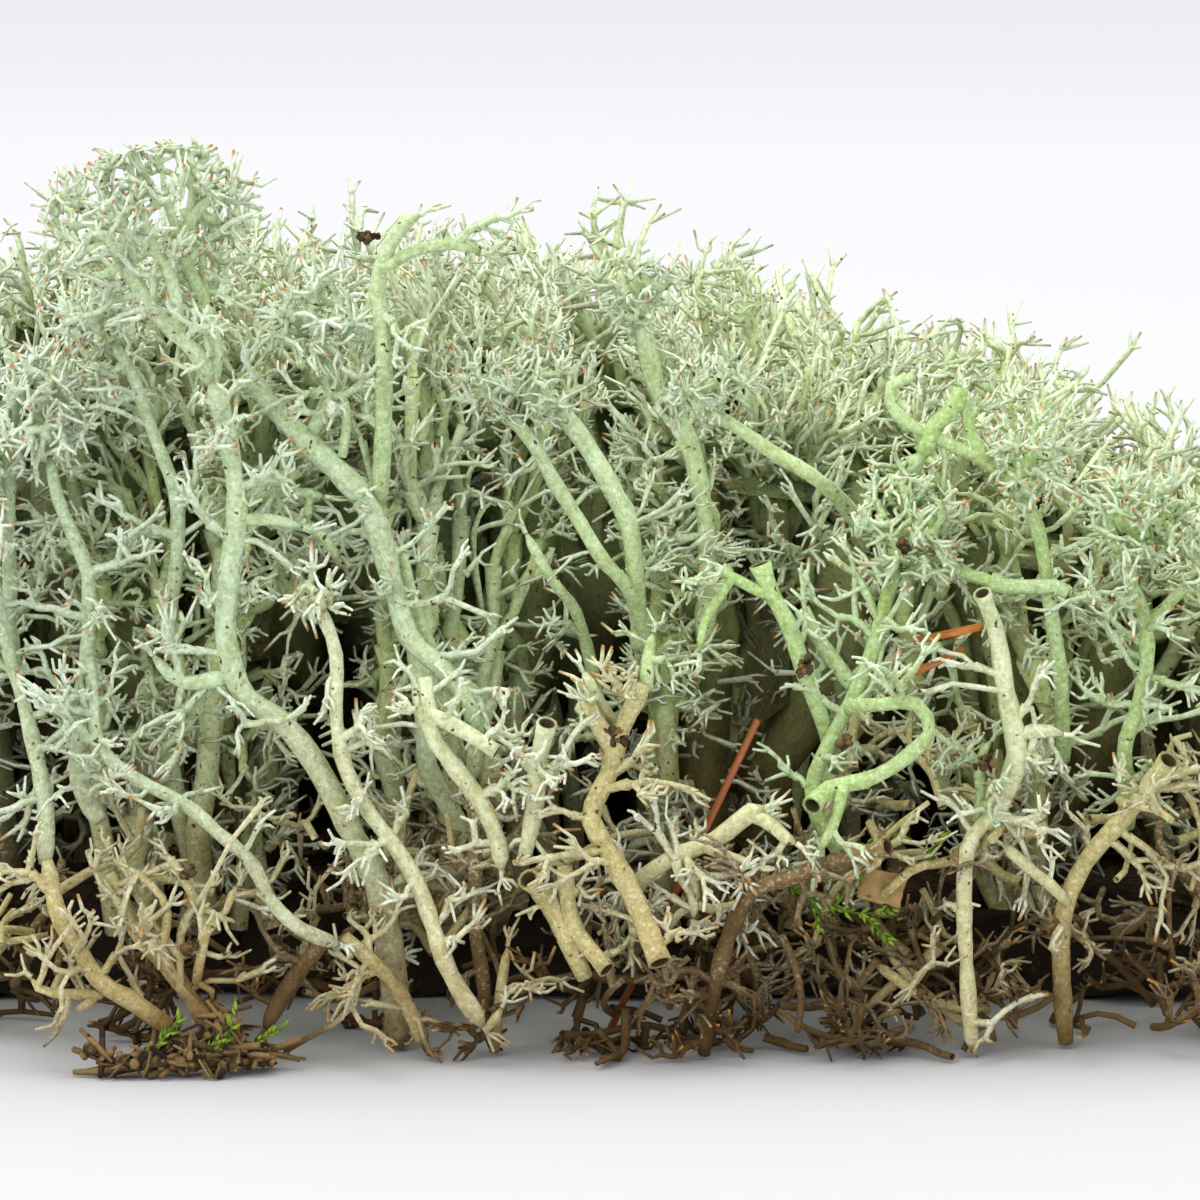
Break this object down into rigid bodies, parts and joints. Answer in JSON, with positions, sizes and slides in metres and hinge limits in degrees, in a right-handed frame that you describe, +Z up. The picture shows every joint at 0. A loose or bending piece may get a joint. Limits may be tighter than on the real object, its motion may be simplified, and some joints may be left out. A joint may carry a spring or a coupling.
{
  "type": "reindeer lichen clump",
  "caption": "Torn-off clump of reindeer lichen (reindeer moss): tufts of forked hollow stalks with a fuzzy pale green crown on a flat brown dead base, to rest on a surface.",
  "frame": {"origin": "on the resting plane, under the middle of the clump, on the flat underside of the base mat", "axes": "+X along the long side of the clump towards its low end, +Y from the open torn front to the back, +Z up"},
  "size_m": [0.1311, 0.0981, 0.0612],
  "materials": {
    "lichen_crown": "matte",
    "lichen_sage": "matte",
    "lichen_green": "matte",
    "lichen_blue_green": "matte",
    "lichen_pale": "matte",
    "lichen_straw": "matte",
    "lichen_brown": "matte",
    "litter": "matte",
    "dead_base": "matte",
    "pine_needle": "satin",
    "dead_leaf": "matte",
    "feather_moss": "matte"
  },
  "bodies": {
    "root": {"base_mat": "dead_base", "tuft_front_1": "lichen_crown", "tuft_front_2": "lichen_crown", "tuft_front_3": "lichen_crown", "tuft_front_4": "lichen_crown", "tuft_front_5": "lichen_crown", "tuft_front_6": "lichen_crown", "tuft_middle_1": "lichen_crown", "tuft_middle_2": "lichen_crown", "tuft_middle_3": "lichen_crown", "tuft_middle_4": "lichen_crown", "tuft_middle_5": "lichen_crown", "tuft_middle_6": "lichen_crown", "tuft_middle_7": "lichen_crown", "tuft_back_1": "lichen_crown", "tuft_back_2": "lichen_crown", "tuft_back_3": "lichen_crown", "tuft_back_4": "lichen_crown", "tuft_back_5": "lichen_crown", "tuft_back_6": "lichen_crown", "tuft_rear_1": "lichen_crown", "tuft_rear_2": "lichen_crown", "tuft_rear_3": "lichen_crown", "tuft_rear_4": "lichen_crown", "tall_stalk": "lichen_sage", "tall_left_arm": "lichen_sage", "tall_right_arm": "lichen_sage", "central_stalk": "lichen_sage", "hook_arm": "lichen_green", "diagonal_arm": "lichen_sage", "left_stalk": "lichen_blue_green", "second_left_stalk": "lichen_blue_green", "left_edge_stalk": "lichen_blue_green", "leaning_stalk": "lichen_blue_green", "outer_straw_stalk": "lichen_straw", "inner_straw_stalk": "lichen_straw", "brown_stalk": "lichen_brown", "litter_foot": "litter", "pale_stalk": "lichen_pale", "centre_tube": "lichen_pale", "left_foot_stalk": "lichen_straw", "right_foot_stalk": "lichen_brown", "upright_tube": "lichen_pale", "long_broken_tube": "lichen_straw", "forked_piece": "lichen_straw", "long_green_stalk": "lichen_green", "curved_green_branch": "lichen_green", "lying_brown_stalk": "lichen_brown", "twig_cluster": "lichen_pale", "open_tube": "lichen_green", "curled_stalk": "lichen_green", "open_stalk": "lichen_pale", "far_right_stalk": "lichen_green", "far_right_broken_stalk": "lichen_straw", "pine_needle_1": "pine_needle", "pine_needle_2": "pine_needle", "pine_needle_3": "pine_needle", "leaf_scrap": "dead_leaf", "moss_sprig": "feather_moss"}
  },
  "joints": []
}
